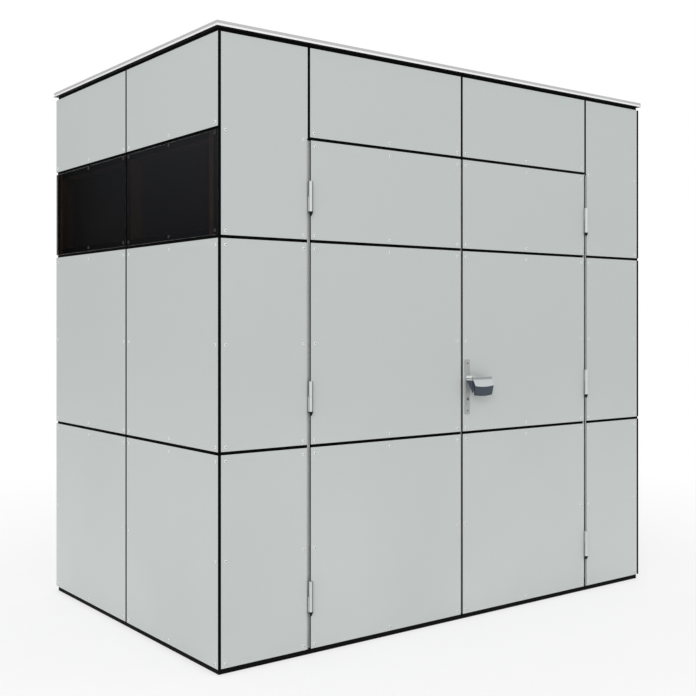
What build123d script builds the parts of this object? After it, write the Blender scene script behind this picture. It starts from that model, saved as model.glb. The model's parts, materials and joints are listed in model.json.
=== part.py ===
from build123d import *
import os

# Garden shed: a flat-roofed timber frame clad in compact-laminate panels with open joints.
# Millimetres, +Z up, +X along the front, the front wall faces -Y.
# The origin is on the ground, in the middle of the building.

# Overall sizes, over the cladding and from the ground to the top of the roof trim
width = 2400
depth = 1520
height = 2363

# Cladding panels and their open joints
panel_thickness = 8
joint_gap = 12
corner_gap = 5
hinge_joint_gap = 18

# Rows of panels from the ground up, as shares of the height: the transom takes what is left
panel_bottom = 22
lower_row_share = 0.326703
middle_row_share = 0.32755
window_row_share = 0.161236
shadow_gap = 17

# Front wall: from a corner to the middle of the hinge joint beside the door
front_column = 400

# Back wall: from the middle of the building to a stud
back_stud_place = 400

# Timber frame
post = 60
beam_height = 60
rail_height = 60
plate_height = 60
threshold_height = 16
deck_thickness = 21
bearer_width = 45
bearer_count = 5
joist_width = 45
joist_count = 3
head_clearance = 7
stop_width = 20
stop_clearance = 6
stop_end_gap = 1
trimmer_width = 45

# Roof
roof_deck_thickness = 18
kerb_width = 45
membrane_thickness = 3
trim_height = 19
trim_sheet = 3
trim_overhang = 10
trim_bead_height = 7
trim_bead = 2

# Door leaves
leaf_frame_depth = 40
stile_width = 40
leaf_rail_height = 60
leaf_frame_inset = 2

# Hinges: a fixed lower knuckle with a pin and a cap, and an upper knuckle that turns
hinge_length = 116
hinge_radius = 8
hinge_pin_radius = 4
hinge_pin_clearance = 0.1
hinge_knuckle_gap = 0.5
hinge_pin_recess = 1.5
hinge_plate_thickness = 3
hinge_plate_reach = 36
hinge_plate_offset = 6
hinge_shift = 3
hinge_stand_off = 1.5
hinge_cap_collar = 4
hinge_cap_taper = 12
hinge_cap_tip_radius = 3
lower_hinge_inset = 203
upper_hinge_inset = 216
hinge_count = 3

# Lock: a long plate on each face of the right leaf, and a profile cylinder for the key
lock_plate_width = 28
lock_plate_height = 234
lock_plate_thickness = 4
lock_plate_corner = 4
lock_plate_bevel = 1
lock_plate_place = 31
lock_plate_below_spindle = 157
spindle_above_joint = 236
spindle_radius = 5
spindle_clearance = 0.3
key_drop = 92
key_round_radius = 8.5
key_bit_width = 10
key_bit_drop = 24.5
key_clearance = 0.3
key_stand_out = 2
keyway_width = 2
keyway_height = 10
keyway_depth = 6

# Outer lever: a round neck with a web under it, and a broad moulded grip
neck_radius = 9.5
neck_reach = 38
web_width = 15
grip_length = 104
grip_heel = 13
grip_heel_slant = 15
grip_rise = 5
grip_drop = 74
grip_lip_height = 13
grip_lip_depth = 7
grip_lip_lean = 2.5
grip_step = 3.5
grip_ridge_drop = 33
grip_ridge_depth = 16
grip_foot_depth = 6
grip_bow = 5
grip_rounding = 1.2

# Inner lever: a plain round bar with one bend
bar_radius = 9
bar_reach = 45
bar_bend_radius = 16
bar_length = 120
bar_end_rounding = 4

# One length for every cut that runs past its piece
overrun = 5

# Levels worked out from the rows
lower_top = panel_bottom + height * lower_row_share
middle_bottom = lower_top + joint_gap
middle_top = middle_bottom + height * middle_row_share
window_bottom = middle_top + joint_gap
window_top = window_bottom + height * window_row_share
transom_bottom = window_top + joint_gap
trim_bottom = height - trim_height
panel_top = trim_bottom - shadow_gap
head_bottom = window_top + head_clearance
head_top = head_bottom + rail_height
plate_top = trim_bottom - roof_deck_thickness
plate_bottom = plate_top - plate_height
lower_joint = (lower_top + middle_bottom) / 2
upper_joint = (middle_top + window_bottom) / 2
window_joint = (window_top + transom_bottom) / 2
spindle_level = lower_joint + spindle_above_joint

# Planes worked out from the overall sizes: the cladding's face, the frame's outside and inside
face_x = width / 2
face_y = depth / 2
frame_x = face_x - panel_thickness
frame_y = face_y - panel_thickness
inner_x = frame_x - post
inner_y = frame_y - post
front_panel_x = frame_x - corner_gap
doorway_x = face_x - front_column
hinge_x = doorway_x - hinge_shift
hinge_y = face_y + hinge_stand_off + hinge_radius
door_post_x = doorway_x + hinge_plate_offset
leaf_back_y = frame_y - leaf_frame_depth
half_joint = joint_gap / 2
half_hinge_joint = hinge_joint_gap / 2
half_post = post / 2

os.makedirs("parts", exist_ok=True)


def slab(x_low, x_high, y_low, y_high, z_low, z_high):
    """A plain box between two corners."""
    low_corner = (Align.MIN, Align.MIN, Align.MIN)
    box = Box(x_high - x_low, y_high - y_low, z_high - z_low, align=low_corner)
    return Pos(x_low, y_low, z_low) * box


def rod(radius, start, end):
    """A round bar from one point to another."""
    axis = Vector(*end) - Vector(*start)
    return extrude(Plane(start, z_dir=axis) * Circle(radius), amount=axis.length)


def across(solid):
    """The same piece on the other side of the building's middle plane."""
    return mirror(solid, about=Plane.YZ)


def save(node, solids):
    """Write the solids of one node."""
    shape = solids[0] if len(solids) == 1 else Compound(children=solids)
    export_step(shape, f"parts/{node}.step")


def spread(count, reach):
    """Evenly spaced places between -reach and reach, with a gap left at both ends."""
    gaps = count + 1
    return [reach * (2 * place / gaps - 1) for place in range(1, gaps)]


# Base: side beams run the whole depth, front and back beams fit between them
side_beam = slab(inner_x, frame_x, -frame_y, frame_y, 0, beam_height)
front_beam = slab(door_post_x, inner_x, -frame_y, -inner_y, 0, beam_height)
back_beam = slab(-inner_x, inner_x, inner_y, frame_y, 0, beam_height)
threshold = slab(-door_post_x, door_post_x, -frame_y, -inner_y, 0, threshold_height)
save("side_base_beams", [side_beam, across(side_beam)])
save("front_back_base_beams", [front_beam, across(front_beam), back_beam])
save("threshold", [threshold])

# Floor: bearers on the ground from the front to the back, the outer ones against the side beams
bearer_top = beam_height - deck_thickness
outer_bearer = slab(inner_x - bearer_width, inner_x, -inner_y, inner_y, 0, bearer_top)
bearers = [outer_bearer, across(outer_bearer)]
half_bearer = bearer_width / 2
for middle in spread(bearer_count - len(bearers), inner_x):
    bearers.append(slab(middle - half_bearer, middle + half_bearer, -inner_y, inner_y, 0, bearer_top))
floor_deck = slab(-inner_x, inner_x, -inner_y, inner_y, bearer_top, beam_height)
save("floor_bearers", bearers)
save("floor_deck", [floor_deck])

# Posts and studs stand on the base beams and carry the top plates
front_post = slab(inner_x, frame_x, -frame_y, -inner_y, beam_height, plate_bottom)
back_post = slab(inner_x, frame_x, inner_y, frame_y, beam_height, plate_bottom)
door_post = slab(door_post_x, door_post_x + post, -frame_y, -inner_y, beam_height, plate_bottom)
side_stud = slab(inner_x, frame_x, -half_post, half_post, beam_height, plate_bottom)
back_stud_low = back_stud_place - half_post
back_stud_high = back_stud_place + half_post
back_stud = slab(back_stud_low, back_stud_high, inner_y, frame_y, beam_height, plate_bottom)
transom_stud = slab(-half_post, half_post, -frame_y, -inner_y, head_top, plate_bottom)
trimmer_x = door_post_x - trimmer_width
trimmer = slab(trimmer_x, door_post_x, -frame_y, -inner_y, head_top, plate_bottom)
save("corner_posts", [front_post, across(front_post), back_post, across(back_post)])
save("door_posts", [door_post, across(door_post)])
side_studs = [side_stud, across(side_stud)]
back_studs = [back_stud, across(back_stud)]
transom_studs = [transom_stud, trimmer, across(trimmer)]
save("wall_studs", side_studs + back_studs + transom_studs)


def rails(levels, bays):
    """Rails behind the horizontal joints: one in each bay at each level."""
    half_rail = rail_height / 2
    pieces = []
    for level in levels:
        for x_low, x_high, y_low, y_high in bays:
            pieces.append(slab(x_low, x_high, y_low, y_high, level - half_rail, level + half_rail))
    return pieces


# Rails between the posts, and the head over the doors
plain_levels = [lower_joint, upper_joint]
window_levels = plain_levels + [window_joint]
front_bays = [
    (-inner_x, -door_post_x - post, -frame_y, -inner_y),
    (door_post_x + post, inner_x, -frame_y, -inner_y),
]
right_bays = [
    (inner_x, frame_x, -inner_y, -half_post),
    (inner_x, frame_x, half_post, inner_y),
]
left_bays = [(-x_high, -x_low, y_low, y_high) for x_low, x_high, y_low, y_high in right_bays]
back_bays = [
    (-inner_x, -back_stud_high, inner_y, frame_y),
    (-back_stud_low, back_stud_low, inner_y, frame_y),
    (back_stud_high, inner_x, inner_y, frame_y),
]
door_head = slab(-door_post_x, door_post_x, -frame_y, -inner_y, head_bottom, head_top)
save("front_column_rails", rails(window_levels, front_bays))
save("left_wall_rails", rails(window_levels, left_bays))
save("right_wall_rails", rails(plain_levels, right_bays))
save("back_wall_rails", rails(plain_levels, back_bays))
save("door_head", [door_head])

# Stops behind the closed leaves: on the door posts, under the head, and on the threshold before the floor
stop_front_y = leaf_back_y - stop_clearance
stop_top = head_bottom - stop_width
jamb_stop_top = stop_top - stop_end_gap
jamb_stop_x = door_post_x - stop_width
jamb_stop_foot = beam_height + stop_end_gap
jamb_stop = slab(jamb_stop_x, door_post_x, -stop_front_y, -inner_y, jamb_stop_foot, jamb_stop_top)
head_stop = slab(-door_post_x, door_post_x, -stop_front_y, -inner_y, stop_top, head_bottom)
foot_stop = slab(-door_post_x, door_post_x, -stop_front_y, -inner_y, threshold_height, beam_height)
save("door_stops", [jamb_stop, across(jamb_stop), head_stop, foot_stop])

# Top plates, roof joists between them, and the roof deck
front_plate = slab(-frame_x, frame_x, -frame_y, -inner_y, plate_bottom, plate_top)
back_plate = slab(-frame_x, frame_x, inner_y, frame_y, plate_bottom, plate_top)
side_plate = slab(inner_x, frame_x, -inner_y, inner_y, plate_bottom, plate_top)
half_joist = joist_width / 2
joists = []
for middle in spread(joist_count, inner_x):
    joists.append(slab(middle - half_joist, middle + half_joist, -inner_y, inner_y, plate_bottom, plate_top))
roof_deck = slab(-frame_x, frame_x, -frame_y, frame_y, plate_top, trim_bottom)
save("long_top_plates", [front_plate, back_plate])
save("short_top_plates", [side_plate, across(side_plate)])
save("roof_joists", joists)
save("roof_deck", [roof_deck])

# Kerbs round the roof, with the membrane between them
kerb_top = height - trim_sheet
kerb_x = frame_x - kerb_width
kerb_y = frame_y - kerb_width
front_kerb = slab(-frame_x, frame_x, -frame_y, -kerb_y, trim_bottom, kerb_top)
back_kerb = slab(-frame_x, frame_x, kerb_y, frame_y, trim_bottom, kerb_top)
side_kerb = slab(kerb_x, frame_x, -kerb_y, kerb_y, trim_bottom, kerb_top)
membrane = slab(-kerb_x, kerb_x, -kerb_y, kerb_y, trim_bottom, trim_bottom + membrane_thickness)
save("long_roof_kerbs", [front_kerb, back_kerb])
save("short_roof_kerbs", [side_kerb, across(side_kerb)])
save("roof_membrane", [membrane])


def trim_length(run, wall):
    """One mitred length of roof trim: a flange on the kerb, a fascia and a bead along its foot."""
    outer = wall + trim_overhang
    fascia = outer - trim_bead
    inner = wall - panel_thickness - kerb_width
    bead_top = trim_bottom + trim_bead_height
    outline = [
        (-inner, height),
        (-fascia, height),
        (-fascia, bead_top + trim_bead),
        (-outer, bead_top),
        (-outer, trim_bottom),
        (trim_sheet - fascia, trim_bottom),
        (trim_sheet - fascia, kerb_top),
        (-inner, kerb_top),
    ]
    section = make_face(Polyline(*outline, close=True))
    outer_half = run / 2 + trim_overhang
    inner_half = outer_half + inner - outer
    bar = extrude(Plane.YZ * section, amount=outer_half, both=True)
    plan = [(-outer_half, -outer), (outer_half, -outer), (inner_half, -inner), (-inner_half, -inner)]
    mitres = extrude(make_face(Polyline(*plan, close=True)), amount=height + overrun)
    return bar & mitres


# Roof trim: the side lengths are made as a front one and turned
quarter_turn = 90
front_trim = trim_length(width, face_y)
right_trim = Rot(0, 0, quarter_turn) * trim_length(depth, face_x)
save("roof_trim_front", [front_trim])
save("roof_trim_back", [mirror(front_trim, about=Plane.XZ)])
save("roof_trim_right", [right_trim])
save("roof_trim_left", [across(right_trim)])


def panel_stack(x_low, x_high, y_low, y_high, rows):
    """Panels above one another in the rows given by their lower and upper edges."""
    return [slab(x_low, x_high, y_low, y_high, low, high) for low, high in rows]


# Cladding of the front: columns beside the doors and the transom over them
# The upper panel of a column is wider beside the transom than beside the leaf
lower_rows = [(panel_bottom, lower_top), (middle_bottom, middle_top)]
plain_rows = lower_rows + [(window_bottom, panel_top)]
column_edge = doorway_x + half_hinge_joint
column_panels = panel_stack(column_edge, front_panel_x, -face_y, -frame_y, plain_rows)
beside_transom = slab(doorway_x + half_joint, column_edge, -face_y, -frame_y, window_joint, panel_top)
column_panels[-1] = column_panels[-1] + beside_transom
transom_panel = slab(half_joint, doorway_x - half_joint, -face_y, -frame_y, transom_bottom, panel_top)
save("front_right_panels", column_panels)
save("front_left_panels", [across(panel) for panel in column_panels])
save("transom_panels", [transom_panel, across(transom_panel)])


def side_wall(rows):
    """Two columns of right-hand side panels, which run from the front face to the back face."""
    front_half = panel_stack(frame_x, face_x, -face_y, -half_joint, rows)
    back_half = panel_stack(frame_x, face_x, half_joint, face_y, rows)
    return front_half + back_half


# Cladding of the side walls: the left one has a row of window panes
save("right_wall_panels", side_wall(plain_rows))
save("left_wall_panels", [across(panel) for panel in side_wall(lower_rows + [(transom_bottom, panel_top)])])
save("window_panes", [across(pane) for pane in side_wall([(window_bottom, window_top)])])

# Cladding of the back wall, between the side walls
back_columns = [
    (-front_panel_x, -back_stud_place - half_joint),
    (half_joint - back_stud_place, back_stud_place - half_joint),
    (back_stud_place + half_joint, front_panel_x),
]
back_panels = []
for x_low, x_high in back_columns:
    back_panels += panel_stack(x_low, x_high, frame_y, face_y, plain_rows)
save("back_wall_panels", back_panels)

# Right leaf, hung at +X: stiles, rails and panels
leaf_bottom = panel_bottom + leaf_frame_inset
leaf_top = window_top - leaf_frame_inset
free_edge = half_joint + leaf_frame_inset
hung_edge = doorway_x - hinge_plate_offset
free_rail_end = free_edge + stile_width
hung_rail_end = hung_edge - stile_width
free_stile = slab(free_edge, free_rail_end, -frame_y, -leaf_back_y, leaf_bottom, leaf_top)
hung_stile = slab(hung_rail_end, hung_edge, -frame_y, -leaf_back_y, leaf_bottom, leaf_top)
half_leaf_rail = leaf_rail_height / 2
leaf_rail_levels = [leaf_bottom + half_leaf_rail, lower_joint, upper_joint, leaf_top - half_leaf_rail]
leaf_rails = []
for level in leaf_rail_levels:
    low = level - half_leaf_rail
    high = level + half_leaf_rail
    leaf_rails.append(slab(free_rail_end, hung_rail_end, -frame_y, -leaf_back_y, low, high))
leaf_rows = lower_rows + [(window_bottom, window_top)]
leaf_panels = panel_stack(half_joint, doorway_x - half_hinge_joint, -face_y, -frame_y, leaf_rows)
save("left_leaf_stiles", [across(hung_stile), across(free_stile)])
save("left_leaf_rails", [across(rail) for rail in leaf_rails])
save("left_leaf_panels", [across(panel) for panel in leaf_panels])
save("right_leaf_rails", leaf_rails)


def hinge_half(side, low, high):
    """A knuckle on the hinge axis with a plate that lies on the post (side 1) or on the stile (side -1)."""
    knuckle = rod(hinge_radius, (hinge_x, -hinge_y, low), (hinge_x, -hinge_y, high))
    seat = doorway_x + side * hinge_plate_offset
    plate_x = sorted([seat, seat - side * hinge_plate_thickness])
    plate = slab(*plate_x, -hinge_y, hinge_plate_reach - frame_y, low, high)
    return knuckle + plate


# Hinges: the lower knuckle with its pin and cap stays on the post, the upper one turns with the leaf
lower_hinge_level = panel_bottom + lower_hinge_inset
upper_hinge_level = window_top - upper_hinge_inset
hinge_pitch = (upper_hinge_level - lower_hinge_level) / (hinge_count - 1)
fixed_halves = []
moving_halves = []
hinge_caps = []
for number in range(hinge_count):
    level = lower_hinge_level + number * hinge_pitch
    foot = level - hinge_length / 2
    crown = level + hinge_length / 2
    pin = rod(hinge_pin_radius, (hinge_x, -hinge_y, level), (hinge_x, -hinge_y, crown - hinge_pin_recess))
    fixed_halves.append(hinge_half(1, foot, level) + pin)
    bore_radius = hinge_pin_radius + hinge_pin_clearance
    bore = rod(bore_radius, (hinge_x, -hinge_y, level), (hinge_x, -hinge_y, crown + overrun))
    moving_halves.append(hinge_half(-1, level + hinge_knuckle_gap, crown) - bore)
    hung_from_top = (Align.CENTER, Align.CENTER, Align.MAX)
    collar = Cylinder(hinge_radius, hinge_cap_collar, align=hung_from_top)
    taper = Cone(hinge_cap_tip_radius, hinge_radius, hinge_cap_taper, align=hung_from_top)
    cap = collar + Pos(0, 0, -hinge_cap_collar) * taper
    hinge_caps.append(Pos(hinge_x, -hinge_y, foot) * cap)
save("fixed_hinge_halves", fixed_halves + [across(half) for half in fixed_halves])
save("hinge_caps", hinge_caps + [across(cap) for cap in hinge_caps])
save("right_moving_hinge_halves", moving_halves)
save("left_moving_hinge_halves", [across(half) for half in moving_halves])

# Lock on the right leaf: the planes of its two plates, and the levels on them
outer_plate_y = -face_y - lock_plate_thickness
inner_plate_y = lock_plate_thickness - leaf_back_y
lock_plate_bottom = spindle_level - lock_plate_below_spindle
lock_plate_middle = lock_plate_bottom + lock_plate_height / 2
key_level = spindle_level - key_drop


def through_leaf(outline, level, reach):
    """An outline at the lock, pushed through the whole leaf and past both plates by a reach."""
    start = Plane((lock_plate_place, inner_plate_y + reach, level), x_dir=(1, 0, 0), z_dir=(0, -1, 0))
    return extrude(start * outline, amount=inner_plate_y - outer_plate_y + 2 * reach)


def key_profile(clearance):
    """The outline of the profile cylinder: a round barrel with a straight-sided bit below it."""
    barrel = Circle(key_round_radius + clearance)
    bit_width = key_bit_width + 2 * clearance
    bit_length = key_bit_drop + clearance
    bit = Pos(0, -bit_length / 2) * Rectangle(bit_width, bit_length)
    return barrel + bit


def lock_plate(seat_y, outward):
    """A long plate with round corners, bevelled on the side that faces away from the leaf."""
    middle = (lock_plate_place, seat_y, lock_plate_middle)
    start = Plane(middle, x_dir=(1, 0, 0), z_dir=(0, outward, 0))
    outline = RectangleRounded(lock_plate_width, lock_plate_height, lock_plate_corner)
    plate = extrude(start * outline, amount=lock_plate_thickness)
    rim = plate.faces().sort_by(Axis.Y)[-1 if outward > 0 else 0].edges()
    return chamfer(rim, lock_plate_bevel)


spindle_bore = through_leaf(Circle(spindle_radius + spindle_clearance), spindle_level, overrun)
key_bore = through_leaf(key_profile(key_clearance), key_level, overrun)
keyway = Rectangle(keyway_width, keyway_height)
keyway_reach = key_stand_out - keyway_depth
keyway_core = through_leaf(keyway, key_level, keyway_reach)
keyway_slots = through_leaf(keyway, key_level, overrun) - keyway_core
key_cylinder = through_leaf(key_profile(0), key_level, key_stand_out) - keyway_slots
outer_plate = lock_plate(-face_y, -1) - spindle_bore - key_bore
inner_plate = lock_plate(-leaf_back_y, 1) - spindle_bore - key_bore
save("lock_plates", [outer_plate, inner_plate, key_cylinder])
save("right_leaf_stiles", [hung_stile, free_stile - spindle_bore - key_bore])
leaf_panels[1] = leaf_panels[1] - spindle_bore - key_bore
save("right_leaf_panels", leaf_panels)


def grip_section(top_x, foot_x, bow):
    """A cross-section of the outer grip: a lip on top, a face out to a ridge and a face that falls back."""
    back = neck_reach - outer_plate_y
    lip_foot = grip_lip_depth - grip_lip_lean
    outline = [
        (0, grip_rise),
        (grip_lip_depth, grip_rise),
        (lip_foot, grip_rise - grip_lip_height),
        (lip_foot + grip_step, grip_rise - grip_lip_height),
        (grip_ridge_depth, -grip_ridge_drop - bow),
        (grip_foot_depth, -grip_drop - bow),
        (0, -grip_drop - bow),
    ]
    lean = (foot_x - top_x) / (grip_rise + grip_drop)
    points = []
    for forward, level in outline:
        points.append((top_x + lean * (grip_rise - level), -back - forward, spindle_level + level))
    return make_face(Polyline(*points, close=True))


def moulded_grip():
    """The outer grip: its heel is slanted, and its ridge and foot bow down halfway along."""
    heel = lock_plate_place - grip_heel
    end = lock_plate_place + grip_length
    middle = (heel + end) / 2
    sections = [
        grip_section(heel, heel + grip_heel_slant, 0),
        grip_section(middle, middle + grip_heel_slant / 2, grip_bow),
        grip_section(end, end, 0),
    ]
    bar = loft(sections)
    return fillet(bar.edges(), grip_rounding)


def outer_lever():
    """Neck, web and grip of the outer lever, with the spindle that runs through the leaf."""
    root = outer_plate_y - spindle_clearance
    tip = outer_plate_y - neck_reach - grip_foot_depth / 2
    root_centre = (lock_plate_place, root, spindle_level)
    neck = rod(neck_radius, root_centre, (lock_plate_place, tip, spindle_level))
    web_foot = spindle_level - grip_drop + grip_foot_depth
    web_root = spindle_level - neck_radius
    side = [(root, spindle_level), (tip, spindle_level), (tip, web_foot), (root, web_root)]
    half_web = web_width / 2
    web_face = Pos(lock_plate_place, 0, 0) * (Plane.YZ * make_face(Polyline(*side, close=True)))
    web = extrude(web_face, amount=half_web, both=True)
    end = inner_plate_y + spindle_clearance
    spindle = rod(spindle_radius, root_centre, (lock_plate_place, end, spindle_level))
    return neck + web + moulded_grip() + spindle


def inner_lever():
    """A plain bar that comes out of the inner plate and bends away from the meeting joint."""
    root = inner_plate_y + spindle_clearance
    tip = inner_plate_y + bar_reach
    route = FilletPolyline(
        (lock_plate_place, root, spindle_level),
        (lock_plate_place, tip, spindle_level),
        (lock_plate_place + bar_length, tip, spindle_level),
        radius=bar_bend_radius,
    )
    start = Plane((lock_plate_place, root, spindle_level), z_dir=(0, 1, 0))
    bar = sweep(start * Circle(bar_radius), path=route)
    end_rim = bar.faces().sort_by(Axis.X)[-1].edges()
    return fillet(end_rim, bar_end_rounding)


save("outer_lever", [outer_lever()])
save("inner_lever", [inner_lever()])
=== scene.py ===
# %% [markdown]
# A flat-roofed garden shed, clad in light grey laminate panels with black open joints. Its solids
# are already modelled. They are loaded as a fixed frame in metres, and this lesson adds what a
# solid lacks: finishes, screws, joint tape, panes, seals, light and a camera.

# %% Load the shed
import json
import math

import bmesh
import bpy
from mathutils import Matrix, Vector


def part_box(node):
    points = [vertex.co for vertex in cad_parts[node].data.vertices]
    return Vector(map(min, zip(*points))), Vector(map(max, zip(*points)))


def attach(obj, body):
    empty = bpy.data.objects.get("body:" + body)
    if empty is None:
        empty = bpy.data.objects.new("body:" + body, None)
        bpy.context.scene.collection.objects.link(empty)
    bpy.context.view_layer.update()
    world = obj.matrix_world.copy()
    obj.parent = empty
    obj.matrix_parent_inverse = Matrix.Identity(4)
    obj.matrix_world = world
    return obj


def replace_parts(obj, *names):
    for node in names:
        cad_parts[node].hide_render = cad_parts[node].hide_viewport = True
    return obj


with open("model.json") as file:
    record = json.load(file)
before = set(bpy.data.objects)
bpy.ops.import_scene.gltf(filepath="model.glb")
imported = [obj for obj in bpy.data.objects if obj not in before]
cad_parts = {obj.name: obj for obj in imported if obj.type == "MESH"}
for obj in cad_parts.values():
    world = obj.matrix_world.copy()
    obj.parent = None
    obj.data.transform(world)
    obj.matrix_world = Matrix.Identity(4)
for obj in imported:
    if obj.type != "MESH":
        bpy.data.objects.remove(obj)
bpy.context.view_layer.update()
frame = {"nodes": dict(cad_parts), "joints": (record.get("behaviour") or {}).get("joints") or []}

nodes = frame["nodes"]

# %% [markdown]
# Every added piece sits on the solids, so its place is worked out from their boxes. The cladding's
# outer face, the face of the timber behind it and the rows of panels are read once and named.

# %% Measure the cladding
face_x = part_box("right_wall_panels")[1].x
face_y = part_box("back_wall_panels")[1].y
frame_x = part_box("corner_posts")[1].x
frame_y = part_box("corner_posts")[1].y
panel_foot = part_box("left_wall_panels")[0].z
panel_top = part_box("left_wall_panels")[1].z
pane_foot, pane_top = (corner.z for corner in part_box("window_panes"))
transom_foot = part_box("transom_panels")[0].z
joint = transom_foot - pane_top
half_joint = joint / 2
head_low, head_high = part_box("door_head")
lower_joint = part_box("front_column_rails")[0].z + (head_high.z - head_low.z) / 2
lower_top = lower_joint - half_joint
middle_foot = lower_joint + half_joint
middle_top = pane_foot - joint
upper_joint = middle_top + half_joint
window_joint = pane_top + half_joint
column_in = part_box("front_right_panels")[0].x
column_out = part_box("front_right_panels")[1].x
leaf_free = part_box("right_leaf_panels")[0].x
leaf_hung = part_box("right_leaf_panels")[1].x

# %% [markdown]
# The camera stands to the left of the doors at about chest height and looks level, so upright
# lines stay upright. Its lens and place were worked out from the panels' joints. The horizon lies
# a little above the picture's middle, and a shift of the lens puts it there without a tilt.

# %% Camera
camera_place = (-3.117, -4.071, 1.279)
camera_heading = 37.11
focal_pixels = 1053.6
picture_pixels = 696
horizon_pixel = 321.2
sensor_width = 36
quarter = math.radians(90)
camera_data = bpy.data.cameras.new("camera")
camera_data.sensor_width = sensor_width
camera_data.lens = focal_pixels / picture_pixels * sensor_width
camera_data.shift_y = (horizon_pixel - picture_pixels / 2) / picture_pixels
camera = bpy.data.objects.new("camera", camera_data)
camera.location = camera_place
camera.rotation_euler = (quarter, 0, math.radians(-camera_heading))
bpy.context.collection.objects.link(camera)
bpy.context.scene.camera = camera
bpy.context.scene.view_settings.view_transform = "Standard"
print("camera lens", round(camera_data.lens, 2), "shift", round(camera_data.shift_y, 4))

# %% [markdown]
# A finish is a small tree of nodes. Wiring each node by hand is long, so one class wraps an output
# socket: sums and products of wires add Math nodes, and the method node adds any other node. The
# Mix node has sockets of the same name, so its colours go by number.

# %% Wires for finishes
mix_below, mix_above, mix_colour = 6, 7, 2


class Wire:
    def __init__(self, tree, socket=None):
        self.tree = tree
        self.socket = socket

    def node(self, kind, settings=None, inputs=None, output=0):
        made = self.tree.nodes.new("ShaderNode" + kind)
        for name, value in (settings or {}).items():
            setattr(made, name, value)
        for name, value in (inputs or {}).items():
            if isinstance(value, Wire):
                self.tree.links.new(value.socket, made.inputs[name])
            else:
                made.inputs[name].default_value = value
        return Wire(self.tree, made.outputs[output])

    def math(self, operation, first, second=0.0):
        return self.node("Math", {"operation": operation}, {0: first, 1: second})

    def __add__(self, other):
        return self.math("ADD", self, other)

    __radd__ = __add__

    def __sub__(self, other):
        return self.math("SUBTRACT", self, other)

    def __rsub__(self, other):
        return self.math("SUBTRACT", other, self)

    def __mul__(self, other):
        return self.math("MULTIPLY", self, other)

    __rmul__ = __mul__

    def __gt__(self, other):
        return self.math("GREATER_THAN", self, other)

    def __lt__(self, other):
        return self.math("LESS_THAN", self, other)

    def __abs__(self):
        return self.math("ABSOLUTE", self)

    def either(self, other):
        return self.math("MAXIMUM", self, other)

    def ramp(self, low, high, start=0.0, end=1.0):
        inputs = {"From Min": low, "From Max": high, "To Min": start, "To Max": end, "Value": self}
        return self.node("MapRange", {"clamp": True}, inputs)

    def between(self, below, above):
        """The colour below where this wire is 0 and the colour above where it is 1."""
        inputs = {0: self, mix_below: below, mix_above: above}
        return self.node("Mix", {"data_type": "RGBA"}, inputs, mix_colour)

    def shade(self, colour):
        """A colour with its brightness multiplied by this wire."""
        plain = colour if isinstance(colour, Wire) else colour[:3]
        return self.node("VectorMath", {"operation": "SCALE"}, {0: plain, "Scale": self})


print("wires ready")

# %% [markdown]
# A finish starts from one Principled shader. What is the same all over the surface is set on the
# shader's own sockets, and what changes over the surface is a wire. Places are Object coordinates,
# so a pattern stays on its piece when a door swings.

# %% Start a finish
cover_roughness = 0.7
cover_sheen = 0.04


class Finish:
    def __init__(self, name, **constants):
        self.material = bpy.data.materials.new(name)
        self.material.use_nodes = True
        tree = self.material.node_tree
        self.shader = tree.nodes["Principled BSDF"]
        for socket, value in constants.items():
            self.shader.inputs[socket.replace("_", " ")].default_value = value
        self.wire = Wire(tree)
        self.place = self.wire.node("TexCoord", output="Object")
        self.normal = self.wire.node("TexCoord", output="Normal")

    def at(self, axis):
        """The place along one axis."""
        return self.wire.node("SeparateXYZ", {}, {0: self.place}, axis)

    def facing(self, axis):
        """How far the surface looks along one axis, from -1 to 1."""
        return self.wire.node("SeparateXYZ", {}, {0: self.normal}, axis)

    def noise(self, scale, detail, stretch=(1, 1, 1), rough=0.5):
        placed = self.wire.node("Mapping", {}, {"Vector": self.place, "Scale": stretch})
        inputs = {"Vector": placed, "Scale": scale, "Detail": detail, "Roughness": rough}
        return self.wire.node("TexNoise", {}, inputs)

    def bump(self, height, strength, distance):
        inputs = {"Height": height, "Strength": strength, "Distance": distance}
        self.feed(Normal=self.wire.node("Bump", {}, inputs))

    def feed(self, **wires):
        for socket, wire in wires.items():
            target = self.shader.inputs[socket.replace("_", " ")]
            self.wire.tree.links.new(wire.socket, target)
        return self.material

    def mix_over(self, mask, second):
        """Show a second shader where the mask is 1."""
        first = Wire(self.wire.tree, self.shader.outputs[0])
        self.surface(self.wire.node("MixShader", {}, {0: mask, 1: first, 2: second}))

    def cover(self, mask, colour):
        """Lay a dull coat where the mask is 1."""
        inputs = {
            "Base Color": colour, "Roughness": cover_roughness, "Specular IOR Level": cover_sheen,
        }
        self.mix_over(mask, self.wire.node("BsdfPrincipled", {}, inputs))

    def surface(self, shader):
        output = self.wire.tree.nodes["Material Output"]
        self.wire.tree.links.new(shader.socket, output.inputs["Surface"])


def grey(level):
    return (level, level, level, 1)


def drawn_out(across, along, axis):
    """The scales of a pattern that is drawn out along one axis."""
    scales = [across, across, across]
    scales[axis] = along
    return scales


print("tools for finishes ready")

# %% [markdown]
# The panels are compact laminate: a satin light grey sheet, a little cool, with a dull black core
# that shows only on its cut edges. Nobody has to paint those by hand: a face that doesn't look
# along the wall's own axis is an edge, and a second shader covers it. Where the side sheets pass
# the corner posts, their back is painted black as shade in the corner joint. A fine speckle and a
# faint cloud keep the sheets from being one flat colour, and near the ground they are painted
# paler, as light bounced from the floor.

# %% Laminate
laminate_colour = (0.497, 0.530, 0.519, 1)
floor_bounce_colour = (0.572, 0.604, 0.594, 1)
core_colour = (0.003, 0.003, 0.0033, 1)
floor_bounce_top = 1.1
floor_bounce_full = 0.1
edge_facing = 0.5


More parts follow.
